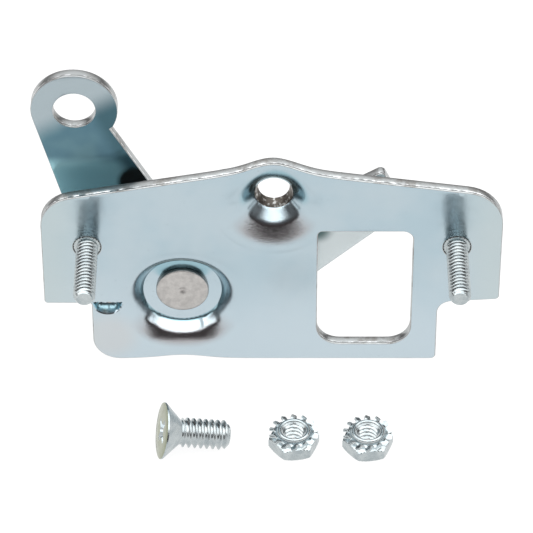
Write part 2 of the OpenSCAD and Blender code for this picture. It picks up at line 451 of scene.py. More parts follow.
def press_mark(x, z):
    """The faint ring that the die left round the screw dimple, deepest at its lower left."""
    r = math.hypot(x - SCREW_X, z - SCREW_Z)
    side = smooth_step(0.7 - 0.6 * (x - SCREW_X) / max(r, 0.1) - 0.5 * (z - SCREW_Z) / max(r, 0.1))
    return 0.09 * side * math.exp(-((r - 13.8) / 0.4) ** 2)


def head_seat(x, z):
    """The floor's slight fall towards the rivet's head, on its upper side only."""
    r = math.hypot(x - PIVOT_X, z - PIVOT_Z)
    up = smooth_step(1.2 * (z - PIVOT_Z) / max(r, 0.1) - 0.2)
    return HEAD_SEAT * up * smooth_step((8.5 - r) / 3.0)


def floor_lip(r):
    """The fine raised line round the pivot dimple's floor."""
    return -0.06 * math.exp(-((r - PIVOT_FLOOR_R + 0.12) / 0.14) ** 2)


def foot_draw(x, z):
    """How far the bottom edge is drawn back below the pivot dimple."""
    drop = smooth_step((PIVOT_Z - 11.0 - z) / 6.0)
    return 1.1 * drop * math.exp(-((x - PIVOT_X) / 7.0) ** 2)


def tab_press(x, z):
    """The pressed half-moon pocket, open along its flat top."""
    if z > TAB_Z:
        return 0.0
    sphere_r = (TAB_R**2 + TAB_DEPTH**2) / (2 * TAB_DEPTH)
    away = math.hypot(x - TAB_X, z - TAB_Z)
    if away >= TAB_R:
        return 0.0
    return math.sqrt(sphere_r**2 - away**2) + TAB_DEPTH - sphere_r


def plate_depth(x, z):
    from_pivot = math.hypot(x - PIVOT_X, z - PIVOT_Z)
    pivot = pivot_dish(from_pivot, (z - PIVOT_Z) / max(from_pivot, 0.1)) + floor_lip(from_pivot)
    pivot += head_seat(x, z)
    return max(0.0, pivot + screw_hollow(x, z) + press_mark(x, z) + foot_draw(x, z) + tab_press(x, z))


def plate_outline():
    left, right = PLATE_LOW[0], PLATE_HIGH[0]
    bottom = PLATE_LOW[2]
    return rounded([
        (left, -16.5, 0.8),
        (left, 12.7, 8),
        (-1.8, 21.85, 20),
        (right, 14.35, 9),
        (right, -15.3, 1),
        (36.9, -16.2, 3.3),
        (36.9, bottom, 1.2),
        (-40.15, bottom, 6),
        (-40.15, -16.5, 0.8),
    ])


def window_outline():
    (x0, z0), (x1, z1) = WINDOW_LOW, WINDOW_HIGH
    return rounded([(x0, z0, WINDOW_FOOT_R), (x0, z1, 1.1), (x1, z1, 2.4), (x1, z0, WINDOW_FOOT_R)])


def mark_walls(mesh):
    """Stores where the dimples' walls are: grain from stretching below, also carrying a painted darker
    shade, and painted teal shade in the hollows above, round the pivot floor's lip, by the rivet's head and
    in the tab's pocket.
    """
    stretch, hollow_shade = [], []
    dimples = (
        (PIVOT_X, PIVOT_Z, PIVOT_FLOOR_R, PIVOT_RIM_R, 1.4, 2.4, 2.4),
        (SCREW_X, SCREW_Z, SCREW_FLOOR_R, SCREW_RIM_R, 2.1, 4.2, 0.6),
    )
    for v in mesh.vertices:
        x, z = v.co.x / MM, v.co.z / MM
        grain_and_shade, painted_shade = 0.0, 0.0
        for cx, cz, start, end, bright, wall, rise in dimples:
            r = math.hypot(x - cx, z - cz)
            up = (z - cz) / max(r, 0.1)
            below = smooth_step((-up - 0.4) / 0.5)
            # grain below each dimple's floor; the same mask also paints a darker brown shade there
            grain_and_shade += smooth_step((r - start - bright) / 0.9) * smooth_step((end - 0.4 - r) / 2.2) * below
            reach = start + wall + rise * smooth_step(up)
            beside = smooth_step((0.45 + up) / 0.6)
            # painted shade on each dimple's wall above and beside its floor
            painted_shade += 1.2 * smooth_step((r - start + 0.15) / 0.3) * smooth_step((reach - r) / 2.6) * beside
        from_pivot = math.hypot(x - PIVOT_X, z - PIVOT_Z)
        foot = from_pivot - PIVOT_FLOOR_R
        # painted shade in a band round the pivot floor's lip
        painted_shade += smooth_step(foot / 0.15) * smooth_step((0.75 - foot) / 0.3)
        # painted shade on the upper part of the pivot floor, darkest towards the rivet's head
        above = smooth_step(((z - PIVOT_Z) / max(from_pivot, 0.1) - 0.5) / 0.3)
        if foot <= 0:
            painted_shade += above * (0.8 + 1.0 * smooth_step((-foot - 0.5) / 2.2))
        # painted shade in the tab's pocket
        if z <= TAB_Z:
            painted_shade += smooth_step((TAB_R - math.hypot(x - TAB_X, z - TAB_Z)) / 0.3)
        stretch.append(min(1.0, grain_and_shade))
        hollow_shade.append(min(2.0, painted_shade))
    mesh.attributes.new("stretch", "FLOAT", "POINT").data.foreach_set("value", stretch)
    mesh.attributes.new("hollow_shade", "FLOAT", "POINT").data.foreach_set("value", hollow_shade)


# how far apart the sheet's points lie: on the dimples' walls, at the floor's lip, on the flat
WALL_STEP = 0.32
LIP_STEP = 0.13
FLAT_STEP = 0.9
# the screw's hole among the plate's loops: the outline is 0, the window 1
SCREW_LOOP = 2


def make_plate():
    holes = [
        resampled(window_outline(), 1.0),
        circle(SCREW_X, SCREW_Z, SCREW_HOLE_R),
        circle(PIVOT_X, PIVOT_Z, PIVOT_HOLE_R),
        circle(-STUD_X, 0, STUD_HOLE_R, 48),
        circle(STUD_X, 0, STUD_HOLE_R, 48),
    ]
    # fine rings of points where the sheet curves, a plain grid elsewhere
    seeds = ring_seeds(PIVOT_X, PIVOT_Z, PIVOT_FLOOR_R - 0.5, PIVOT_RIM_R + 0.5, WALL_STEP)
    seeds += ring_seeds(PIVOT_X, PIVOT_Z, 5.2, PIVOT_FLOOR_R - 0.8, 0.4)
    seeds += ring_seeds(PIVOT_X, PIVOT_Z, PIVOT_FLOOR_R - 0.42, PIVOT_FLOOR_R + 0.1, LIP_STEP)
    seeds += ring_seeds(SCREW_X, SCREW_Z, 13.0, 14.6, 0.35)
    seeds += ring_seeds(SCREW_X, SCREW_Z, SCREW_FLOOR_R + 0.1, 12.9, WALL_STEP)
    seeds += ring_seeds(TAB_X, TAB_Z, 0.3, TAB_R + 0.2, 0.25)
    taken = [
        (PIVOT_X, PIVOT_Z, PIVOT_RIM_R + 0.6),
        (SCREW_X, SCREW_Z, 14.8),
        (TAB_X, TAB_Z, TAB_R + 0.3),
    ]
    for p in grid_seeds((PLATE_LOW[0], PLATE_LOW[2]), (PLATE_HIGH[0], PLATE_HIGH[2]), FLAT_STEP, 3):
        if all(math.hypot(p.x - x, p.y - z) > r for x, z, r in taken):
            seeds.append(p)
    outline = resampled(plate_outline(), 0.5)
    mesh = sheet_mesh("plate_sheet", outline, holes, plate_depth, 0.0, PLATE_T, seeds,
                      edge=0.8, sections={SCREW_LOOP: FLARED_EDGE})
    mark_walls(mesh)
    return dress("plate_sheet", mesh, "plate", ["mounting_plate"], 34)


# ---------------------------------------------------------------- lever
def flat(x, z):
    """The depth of a sheet that isn't pressed."""
    return 0.0


def lever_outline():
    foot = LEVER_LOW[2]
    left, right = (-51.75, 30.15), (-35.1, 27.4)
    blank = rounded([
        (*left, 0),
        (-35.45, foot, 15),
        (-9.8, foot, 22),
        (29.4, 4.4, 1.5),
        (24.3, 15.35, 1.2),
        (-15.1, -8.9, 8),
        (*right, 0),
    ])
    start = math.atan2(right[1] - EYE_Z, right[0] - EYE_X)
    end = math.atan2(left[1] - EYE_Z, left[0] - EYE_X) + TAU
    for t in np.linspace(start, end, 40)[1:-1]:
        blank.append(Vector((EYE_X + EYE_R * math.cos(t), EYE_Z + EYE_R * math.sin(t))))
    return blank


def make_lever():
    holes = [circle(EYE_X, EYE_Z, EYE_HOLE_R), circle(PIVOT_X, PIVOT_Z, LEVER_HOLE_R)]
    seeds = grid_seeds((LEVER_LOW[0], LEVER_LOW[2]), (LEVER_HIGH[0], LEVER_HIGH[2]), 1.5, 5)
    outline = resampled(lever_outline(), 0.9)
    mesh = sheet_mesh("lever_sheet", outline, holes, flat, LEVER_LOW[1], LEVER_T, seeds, edge=0.5)
    return dress("lever_sheet", mesh, "lever", ["bell_crank_lever"], 34)


# ---------------------------------------------------------------- turned and threaded pieces
def turned(profile, segments=96, wobble=None):
    """A closed turning of (radius, height) points about Z, from axis to axis."""
    verts, rows = [], []
    for r, h in profile:
        first = len(verts)
        count = 1 if r == 0 else segments
        for j in range(count):
            t = TAU * j / segments
            lift = wobble(r, t) if wobble else 0.0
            verts.append((r * math.cos(t), r * math.sin(t), h + lift))
        rows.append([first + j % count for j in range(segments + 1)])
    faces = []
    for a, b in zip(rows, rows[1:]):
        for j in range(segments):
            corner = (a[j], a[j + 1], b[j + 1], b[j])
            faces.append(tuple(dict.fromkeys(corner)))
    return verts, faces


def lattice(rows):
    """A closed ring of rings: every row is a loop of points and the last row joins the first."""
    verts = [p for row in rows for p in row]
    n, m = len(rows), len(rows[0])
    faces = []
    for i in range(n):
        for j in range(m):
            a, b = i * m, (i + 1) % n * m
            faces.append((a + j, a + (j + 1) % m, b + (j + 1) % m, b + j))
    return verts, faces


# where along one pitch the thread's rows lie, and how far up the flank each one is
THREAD_ROWS = [
    (0.0, 0.0), (0.1, 0.03), (0.27, 0.5), (0.43, 0.97),
    (0.5, 1.0), (0.57, 0.97), (0.73, 0.5), (0.9, 0.03),
]


def threaded(r, pitch, depth, length, tip_r, tip_l, segments=56):
    """A closed threaded shank about Z from 0 to length in millimetres, tapered at its far end."""
    per = len(THREAD_ROWS)
    turns = math.ceil(length / pitch) + 3
    grid = []
    work = bmesh.new()
    for k in range(turns * per):
        phase, up = THREAD_ROWS[k % per]
        row = []
        for j in range(segments):
            t = TAU * j / segments
            h = (k // per - 2 + phase + j / segments) * pitch
            taper = tip_r + (length - h) * (r - tip_r) / tip_l
            radius = max(0.2, min(r - depth * (1 - up), taper))
            row.append(work.verts.new((radius * math.cos(t), radius * math.sin(t), h)))
        grid.append(row)
    for k in range(len(grid) - per - 1):
        for j in range(segments):
            a, b = grid[k], grid[k + 1]
            if j + 1 < segments:
                corner = (a[j], a[j + 1], b[j + 1], b[j])
            else:
                corner = (a[j], grid[k + per][0], grid[k + per + 1][0], b[j])
            work.faces.new(corner)
    for h, sign in ((0.0, -1), (length, 1)):
        geom = work.verts[:] + work.edges[:] + work.faces[:]
        halved = bmesh.ops.bisect_plane(work, geom=geom, dist=1e-5, plane_co=(0, 0, h),
                                        plane_no=(0, 0, sign), clear_outer=True)
        rim = [e for e in halved["geom_cut"] if isinstance(e, bmesh.types.BMEdge)]
        bmesh.ops.edgeloop_fill(work, edges=rim)
    loose = [v for v in work.verts if not v.link_faces]
    bmesh.ops.delete(work, geom=loose, context="VERTS")
    bmesh.ops.triangulate(work, faces=[f for f in work.faces if len(f.verts) > 4])
    return work


def placed(work, matrix):
    """Moves a bmesh in millimetres to its place and returns it as a mesh in metres."""
    work.transform(Matrix.Scale(MM, 4) @ matrix)
    bmesh.ops.recalc_face_normals(work, faces=work.faces)
    mesh = bpy.data.meshes.new("part")
    work.to_mesh(mesh)
    work.free()
    return mesh


def as_bmesh(verts, faces):
    work = bmesh.new()
    points = [work.verts.new(v) for v in verts]
    for face in faces:
        work.faces.new([points[i] for i in face])
    return work


# takes local +Z to world +Y, along the sheet's thickness
ALONG_Y = Matrix(((1, 0, 0, 0), (0, 0, 1, 0), (0, -1, 0, 0), (0, 0, 0, 1)))


# ---------------------------------------------------------------- studs and rivet
# sections as (radius, height): the collar in the sheet and the disc at its back
COLLAR_SECTION = [(1.2, 0.0), (2.75, 0.0), (3.0, 0.12), (3.03, 0.8), (3.0, 1.45), (2.6, 1.6), (1.2, 1.6)]
DISC_SECTION = [
    (0, 0), (3.3, 0), (3.75, 0.1), (3.86, 0.3), (3.86, 0.6),
    (3.7, 0.82), (3.3, 0.88), (0.9, 0.86), (0.35, 0.74), (0, 0.7),
]
DISC_H = 0.9
KNURLS = 24
KNURL_DEPTH = 0.14
KNURL_FROM_R = 2.7


def knurled(section):
    """Rings of a collar notched all round."""
    rows = []
    for r, h in section:
        ring = []
        for j in range(KNURLS * 4):
            t = TAU * j / (KNURLS * 4)
            notch = KNURL_DEPTH * (0.5 + 0.5 * math.cos(KNURLS * t)) if KNURL_FROM_R < r else 0.0
            ring.append(((r - notch) * math.cos(t), (r - notch) * math.sin(t), h))
        rows.append(ring)
    return rows


def make_stud(side, name):
    """A self-clinching stud: threaded shank, knurled collar in the sheet, flush disc at the back."""
    x = side * STUD_X
    low, _ = box_mm(name)
    reach = -low[1]
    shank = threaded(STUD_R, STUD_PITCH, THREAD_DEPTH, reach + SHANK_SUNK, STUD_TIP_R, STUD_TIP_L)
    towards_front = Matrix.Translation((x, SHANK_SUNK, 0)) @ Matrix.Rotation(math.pi / 2, 4, "X")
    mesh = placed(shank, towards_front)
    mesh.name = name + "_thread"
    dress(mesh.name, mesh, "plate", [name], 50)
    collar = as_bmesh(*lattice(knurled(COLLAR_SECTION)))
    mesh = placed(collar, Matrix.Translation((x, 0.03, 0)) @ ALONG_Y)
    dress(name + "_collar", mesh, "plate", [], 40)
    disc = as_bmesh(*turned(DISC_SECTION, 64))
    mesh = placed(disc, Matrix.Translation((x, PLATE_T - DISC_H, 0)) @ ALONG_Y)
    dress(name + "_head", mesh, "plate", [], 40)


def rivet_wobble(seed):
    """The hammered unevenness of an upset head."""
    shake = random.Random(seed)
    bumps = [
        (shake.uniform(0, 4.8), shake.uniform(0, TAU), shake.uniform(-0.09, 0.09))
        for _ in range(16)
    ]

    def wobble(r, t):
        x, y = r * math.cos(t), r * math.sin(t)
        total = 0
        for away, turn, height in bumps:
            square = (x - away * math.cos(turn)) ** 2 + (y - away * math.sin(turn)) ** 2
            total += height * math.exp(-square / 1.6)
        return total

    return wobble


def make_rivet():
    """The shoulder rivet: upset head in the dimple, shoulder through the lever, broad rear head."""
    low, high = box_mm("pivot_rivet")
    front = low[1]
    section = [(0, 0.5), (0.28, 0.46), (0.55, 0.3), (0.85, 0.14), (1.2, 0.07)]
    section += [(r, 0.06) for r in (1.6, 2.0, 2.5, 3.0, 3.5, 4.0, 4.5)]
    section += [(5.1, 0.06), (5.5, 0.07), (5.7, 0.11)]
    section += [(RIVET_HEAD_R - 0.04, 0.2), (RIVET_HEAD_R, 0.32), (RIVET_HEAD_R, 1.0)]
    section += [(RIVET_SHANK_R, 1.0), (RIVET_SHANK_R, 2.4), (0, 2.4)]
    wobble = rivet_wobble(11)

    def hammered(r, t):
        return max(0.0, 0.03 + wobble(r, t)) * max(0.0, 1 - (r / 5.2) ** 6)

    head = as_bmesh(*turned(section, 112, hammered))
    mesh = placed(head, Matrix.Translation((PIVOT_X, front + 0.25, PIVOT_Z)) @ ALONG_Y)
    dress("rivet_front", mesh, "plate", ["pivot_rivet"], 50)
    rear = high[1] - front
    rear_section = [
        (0, 2.5), (4.95, 2.5), (4.95, rear - 1.6), (6.6, rear - 1.6), (6.9, rear - 1.5), (7.0, rear - 1.25),
        (6.9, rear - 0.95), (6.5, rear - 0.6), (5.8, rear - 0.3), (4.6, rear - 0.1), (3.2, rear - 0.02),
        (1.9, rear), (1.3, rear - 0.06), (0.9, rear - 0.25), (0.5, rear - 0.42), (0, rear - 0.48),
    ]
    tail = as_bmesh(*turned(rear_section, 112))
    mesh = placed(tail, Matrix.Translation((PIVOT_X, front, PIVOT_Z)) @ ALONG_Y)
    dress("rivet_rear", mesh, "plate", [], 40)


# ---------------------------------------------------------------- loose hardware
def tapered(rows, matrix):
    """A closed mesh through rows of points, from the first row to the last."""
    work = bmesh.new()
    rings = [[work.verts.new(p) for p in row] for row in rows]
    for a, b in zip(rings, rings[1:]):
        for j in range(len(a)):
            n = (j + 1) % len(a)
            work.faces.new((a[j], a[n], b[n], b[j]))
    work.faces.new(rings[0][::-1])
    work.faces.new(rings[-1])
    return placed(work, matrix)


def cross_cutter():
    """The cutters of the cross recess: two tapered wings and a cone, along +Z from the head's face."""
    above, depth = -0.3, 2.5
    parts = []
    for turn in (0, math.pi / 2):
        c, s = math.cos(turn), math.sin(turn)
        wing = []
        for h, half_l, half_w in ((above, 3.35, 0.68), (depth, 1.05, 0.42)):
            corners = ((-half_l, -half_w), (half_l, -half_w), (half_l, half_w), (-half_l, half_w))
            wing.append([(a * c - b * s, a * s + b * c, h) for a, b in corners])
        parts.append(wing)
    cone = []
    for h, r in ((above, 1.75), (depth - 0.2, 0.8), (depth + 0.3, 0.15)):
        cone.append([(r * math.cos(TAU * j / 8), r * math.sin(TAU * j / 8), h) for j in range(8)])
    parts.append(cone)
    return [tapered(rows, Matrix.Rotation(RECESS_TURN, 4, "Z")) for rows in parts]


def cut(mesh, cutters):
    """The mesh with each cutter taken out of it."""
    body = bpy.data.objects.new("whole", mesh)
    bpy.context.scene.collection.objects.link(body)
    tools = []
    for cutter in cutters:
        tool = bpy.data.objects.new("tool", cutter)
        bpy.context.scene.collection.objects.link(tool)
        bite = body.modifiers.new("bite", "BOOLEAN")
        bite.operation = "DIFFERENCE"
        bite.solver = "EXACT"
        bite.object = tool
        tools.append(tool)
    bpy.context.view_layer.update()
    done = bpy.data.meshes.new_from_object(body.evaluated_get(bpy.context.evaluated_depsgraph_get()))
    for tool in tools + [body]:
        bpy.data.objects.remove(tool)
    return done


def make_screw():
    """The flat head screw, lying on its head's rim and its tip."""
    tilt = math.atan((SCREW_HEAD_R - SCREW_R) / (SCREW_L - SCREW_TIP_L - SCREW_RIM_H))
    centre_z = PLATE_LOW[2] + SCREW_HEAD_R * math.cos(tilt) + SCREW_RIM_H * math.sin(tilt)
    lie = Matrix.Translation((*SCREW_POS, centre_z)) @ Matrix.Rotation(SCREW_TURN, 4, "Z")
    lie = lie @ Matrix.Rotation(tilt, 4, "Y") @ Matrix.Rotation(math.pi / 2, 4, "Y")
    head = [
        (0, 0.0), (3.6, 0.0), (SCREW_HEAD_R - 0.22, 0.0), (SCREW_HEAD_R - 0.06, 0.05),
        (SCREW_HEAD_R, 0.18), (SCREW_HEAD_R - 0.02, SCREW_RIM_H), (SCREW_HEAD_R - 0.2, SCREW_RIM_H + 0.2),
        (SCREW_NECK_R + 0.25, SCREW_HEAD_L - 0.3), (SCREW_NECK_R, SCREW_HEAD_L), (SCREW_NECK_R, 5.1),
        (0, 5.1),
    ]
    mesh = cut(placed(as_bmesh(*turned(head, 112)), Matrix.Identity(4)), cross_cutter())
    for face in mesh.polygons:
        face.material_index = 1 if face.center.z < FACE_SKIN * MM else 0
    mesh.transform(Matrix.Scale(MM, 4) @ lie @ Matrix.Scale(1 / MM, 4))
    dress("screw_head", mesh, "screw", ["flat_head_screw"], 30)
    length = SCREW_L - SCREW_HEAD_L - SCREW_NECK_GAP
    shank = threaded(SCREW_CREST_R, SCREW_PITCH, SCREW_THREAD_DEPTH, length, 2.2, 1.0)
    mesh = placed(shank, lie @ Matrix.Translation((0, 0, SCREW_HEAD_L + SCREW_NECK_GAP)))
    dress("screw_thread", mesh, "screw", [], 50)


def hex_r(t, across):
    """Distance from the axis to a hexagon's side at angle t."""
    return across / 2 / math.cos(t % (math.pi / 3) - math.pi / 6)


def nut_ring(radius, h, segments=120):
    """A ring of points at a radius, which may be a function of the angle."""
    row = []
    for j in range(segments):
        t = TAU * j / segments
        r = radius(t) if callable(radius) else radius
        row.append((r * math.cos(t), r * math.sin(t), h))
    return row


def flats(limit):
    """The hexagon's radius by angle, no larger than limit."""
    return lambda t: min(hex_r(t, NUT_AF), limit)


def tapped(h, top):
    """The threaded bore's radius by angle at height h, belled out at its top and chamfered at its foot."""
    bell = max(0.0, (h - (top - 0.75)) / 0.75)
    foot = max(0.0, (0.35 - h) / 0.35)
    open_r = max(bell * (BELL_R - NUT_BORE_R), foot * 0.42)

    def radius(t):
        wave = 0.5 - 0.5 * math.cos(TAU * (h / STUD_PITCH - t / TAU))
        return NUT_BORE_R + max(open_r, 0.5 * wave**1.3)

    return radius


# the hexagon's chamfers: how far past half the width across flats the corners reach, and the height
FOOT_CHAMFER = [(-0.06, 0.03), (0.14, 0.14), (0.36, 0.27), (0.58, 0.4), (0.9, 0.58)]
TOP_CHAMFER = [(0.62, 2.62), (0.4, 2.78), (0.18, 2.92), (0, 3.04), (-0.2, 3.14), (-0.5, NUT_H)]
FLAT_HEIGHTS = (1.0, 1.7, 2.3)
LIP_H = 0.4
LIP_STEPS = 12
BORE_STEPS = 44


def nut_rows():
    """The nut's surface as rows of points: foot, flats, shoulder, flared collar, threaded bore."""
    half = NUT_AF / 2
    rows = [nut_ring(NUT_BORE_R + 0.45, 0.0), nut_ring(half - 0.3, 0.0)]
    rows += [nut_ring(flats(half + past), h) for past, h in FOOT_CHAMFER]
    rows += [nut_ring(flats(NUT_AF), h) for h in FLAT_HEIGHTS]
    rows += [nut_ring(flats(half + past), h) for past, h in TOP_CHAMFER]
    lip_r, lip_h = (COLLAR_FLARE_R + BELL_R) / 2, NUT_H + COLLAR_H - LIP_H
    collar = [
        (COLLAR_R + 0.35, NUT_H),
        (COLLAR_R + 0.06, NUT_H + 0.08),
        (COLLAR_R, NUT_H + 0.3),
        (COLLAR_R, NUT_H + 0.9),
    ]
    for k in range(LIP_STEPS + 1):
        t = math.pi * (-0.12 + 1.12 * k / LIP_STEPS)
        collar.append((lip_r + (COLLAR_FLARE_R - lip_r) * math.cos(t), lip_h + LIP_H * math.sin(t)))
    rows += [nut_ring(r, h) for r, h in collar]
    for k in range(BORE_STEPS + 1):
        h = lip_h * (1 - k / BORE_STEPS)
        rows.append(nut_ring(tapped(h, lip_h), h))
    return rows


def make_nut(side, x, y):
    base = PLATE_LOW[2]
    place = Matrix.Translation((x, y, base)) @ Matrix.Rotation(NUT_TURN, 4, "Z")
    mesh = placed(as_bmesh(*lattice(nut_rows())), place)
    dress("nut_" + side, mesh, "nut_" + side, ["keps_nut_" + side], 32)


def washer_outline():
    """The ring with its square-ended teeth, seen flat."""
    foot_half = WASHER_TOOTH_HALF / WASHER_RING_R + 0.01
    waist_half = WASHER_TOOTH_HALF / TOOTH_WAIST_R
    tip_half = WASHER_TOOTH_HALF / WASHER_TIP_R - 0.012
    right_side = [
        (WASHER_TIP_R, tip_half * 0.8),
        (WASHER_TIP_R - 0.08, tip_half + 0.004),
        (TOOTH_WAIST_R, waist_half),
        (WASHER_RING_R, foot_half),
    ]
    tooth = [(r, -d) for r, d in right_side[::-1]] + [(WASHER_TIP_R, 0)] + right_side
    outline = []
    for i in range(TOOTH_COUNT):
        a = TAU * (i + 0.5) / TOOTH_COUNT
        outline += [Vector((r * math.cos(a + d), r * math.sin(a + d))) for r, d in tooth]
        gap = a + math.pi / TOOTH_COUNT
        gap_r = WASHER_RING_R - 0.08
        outline.append(Vector((gap_r * math.cos(gap), gap_r * math.sin(gap))))
    return outline


def twisted(x, y, height):
    """A flat washer's point after its tooth is twisted about its own radius."""
    r, a = math.hypot(x, y), math.atan2(y, x)
    middle = (math.floor(a / TAU * TOOTH_COUNT) + 0.5) * TAU / TOOTH_COUNT
    c, s = math.cos(middle), math.sin(middle)
    along, across = x * c + y * s, -x * s + y * c
    twist = TOOTH_TWIST * smooth_step((r - 4.1) / 0.45)
    turned_across = across * math.cos(twist) - height * math.sin(twist)
    lifted = across * math.sin(twist) + height * math.cos(twist)
    return along * c - turned_across * s, along * s + turned_across * c, lifted


def make_washer(side, x, y):
    """The captive lock washer: a ring whose outward teeth are each twisted about their own radius."""
    low, high = box_mm("tooth_washer_" + side)
    middle = (low[2] + high[2]) / 2
    outline = resampled(washer_outline(), 0.2)
    hole = circle(0, 0, WASHER_HOLE_R, 84)
    seeds = ring_seeds(0, 0, 3.45, 4.2, 0.25) + ring_seeds(0, 0, 4.35, 5.15, 0.2)
    mesh = sheet_mesh("washer", outline, [hole], flat, -WASHER_T / 2, WASHER_T, seeds, edge=0.2)
    work = bmesh.new()
    work.from_mesh(mesh)
    for v in work.verts:
        v.co = twisted(v.co.x / MM, v.co.z / MM, v.co.y / MM)
    mesh = placed(work, Matrix.Translation((x, y, middle)))
    dress("washer_" + side, mesh, "washer_" + side, ["tooth_washer_" + side], 32)


make_lever()
make_plate()
make_rivet()
for side, name in ((-1, "stud_left"), (1, "stud_right")):
    make_stud(side, name)
make_screw()
for side, (x, y) in NUT_POS.items():
    make_nut(side, x, y)
    make_washer(side, x, y)


# ---------------------------------------------------------------- materials
class Look:
    """A node material being built: principled shader fed by object-space textures, in metres."""

    def __init__(self, name, metallic=1.0):
        self.material = bpy.data.materials.new(name)
        self.material.use_nodes = True
        self.tree = self.material.node_tree
        self.shader = self.tree.nodes["Principled BSDF"]
        self.shader.inputs["Metallic"].default_value = metallic
        self.place = self.tree.nodes.new("ShaderNodeTexCoord").outputs["Object"]

    def add(self, kind, inputs=(), **settings):
        node = self.tree.nodes.new("ShaderNode" + kind)
        for key, value in settings.items():
            setattr(node, key, value)
        for key, value in dict(inputs).items():
            if isinstance(value, bpy.types.NodeSocket):
                self.tree.links.new(value, node.inputs[key])
            else:
                node.inputs[key].default_value = value
        return node

    def noise(self, per_mm, detail=2.0, rough=0.5, stretch=(1, 1, 1)):
        """Noise from 0 to 1 with about per_mm features in a millimetre."""
        place = self.add("Mapping", {"Vector": self.place, "Scale": stretch}).outputs[0]
        settings = {"Vector": place, "Scale": per_mm / MM, "Detail": detail, "Roughness": rough}
        made = self.add("TexNoise", settings)
        return made.outputs["Fac"]

    def ramp(self, value, low, high, out_low=0.0, out_high=1.0):
        settings = {"Value": value, "From Min": low, "From Max": high, "To Min": out_low, "To Max": out_high}
        made = self.add("MapRange", settings, interpolation_type="SMOOTHSTEP")
        return made.outputs["Result"]

    def maths(self, operation, a, b=0.0):
        return self.add("Math", {0: a, 1: b}, operation=operation).outputs[0]

    def mix(self, factor, a, b):
        made = self.add("Mix", {0: factor, 6: a, 7: b}, data_type="RGBA")
        return made.outputs[2]

    def axis(self, name):
        return self.add("SeparateXYZ", {0: self.place}).outputs[name]

    def spot(self, x, z, inner, outer):
        """1 within inner millimetres of a point seen from the front, fading to 0 at outer."""
        across = self.maths("SUBTRACT", self.axis("X"), x * MM)
        up = self.maths("SUBTRACT", self.axis("Z"), z * MM)
        square = self.maths("ADD", self.maths("MULTIPLY", across, across), self.maths("MULTIPLY", up, up))
        return self.ramp(self.maths("SQRT", square), outer * MM, inner * MM)

    def bump(self, height, distance, strength=1.0, below=None):
        inputs = {"Height": height, "Distance": distance * MM, "Strength": strength}
        if below is not None:
            inputs["Normal"] = below
        return self.add("Bump", inputs).outputs[0]

    def finish(self, color=None, roughness=None, normal=None):
        for key, value in (("Base Color", color), ("Roughness", roughness), ("Normal", normal)):
            if value is None:
                continue
            if isinstance(value, bpy.types.NodeSocket):
                self.tree.links.new(value, self.shader.inputs[key])
            else:
                self.shader.inputs[key].default_value = value
        return self.material


def zinc_sheet_and_painted_light(name, pale, teal, rough_low, rough_high, stretch=0.0):
    """Bright zinc on pressed sheet: cloudy tint, fine grain, specks, coarse grain where it is stretched,
    with painted light: a darker brown painted shade on the stretched shoulders, painted teal shade in the
    dimples' hollows and the tab's pocket, darkest by the rivet's head, and a painted tan reflection in the
    pocket.
    """
    look = Look(name)
    cloud = look.noise(0.05, 3, 0.6)
    tint = look.mix(look.ramp(cloud, 0.35, 0.7), pale, teal)
    speck = look.ramp(look.noise(1.6, 2, 0.5), 0.70, 0.76)
    low_down = look.ramp(look.axis("Z"), 0.0, -0.03)
    tint = look.mix(look.maths("MULTIPLY", low_down, 0.8), tint, (0.53, 0.615, 0.665, 1))
    far_side = look.ramp(look.maths("ABSOLUTE", look.axis("X")), 0.036, 0.05)
    tint = look.mix(look.maths("MULTIPLY", far_side, 0.7), tint, (0.49, 0.555, 0.56, 1))
    color = look.mix(look.maths("MULTIPLY", speck, 0.35), tint, (0.22, 0.24, 0.24, 1))
    grain = look.noise(2.2, 4, 0.65)
    rough = look.ramp(look.noise(0.25, 3, 0.6), 0.3, 0.7, rough_low, rough_high)
    normal = look.bump(look.noise(0.12, 2, 0.5), 0.12, 0.35)
    normal = look.bump(grain, 0.012, 0.5, normal)
    if stretch:
        where = look.add("Attribute", attribute_name="stretch").outputs["Fac"]
        coarse = look.maths("MULTIPLY", look.noise(4.2, 2, 0.5), where)
        normal = look.bump(coarse, stretch, 1.0, normal)
        # painted shade: a darker brown tone over the coarse grain of the stretched shoulders below the
        # dimples, darkening the band reflected there
        color = look.mix(look.maths("MULTIPLY", where, 0.8), color, (0.37, 0.345, 0.345, 1))
        # painted shade: teal in the dimples' hollows, round the pivot floor's lip and in the tab's pocket,
        # dark teal by the rivet's head
        hollow_shade = look.add("Attribute", attribute_name="hollow_shade").outputs["Fac"]
        color = look.mix(look.ramp(hollow_shade, 0.0, 1.0, 0.0, 0.85), color, (0.26, 0.43, 0.49, 1))
        color = look.mix(look.ramp(hollow_shade, 1.0, 2.0, 0.0, 0.9), color, (0.055, 0.125, 0.155, 1))
        # painted tan reflection in the tab's pocket
        color = look.mix(look.spot(TAB_X + 0.4, TAB_Z - 0.3, 0.3, 0.9), color, (0.42, 0.37, 0.33, 1))
        smoother = look.maths("MULTIPLY", where, 0.5)
        rough = look.maths("MULTIPLY", rough, look.maths("SUBTRACT", 1.0, smoother))
        warm = look.maths("MULTIPLY", look.spot(-36.5, -26.5, 3.0, 8.5), 0.6)
        color = look.mix(warm, color, (0.56, 0.565, 0.565, 1))
    return look.finish(color, rough, normal)


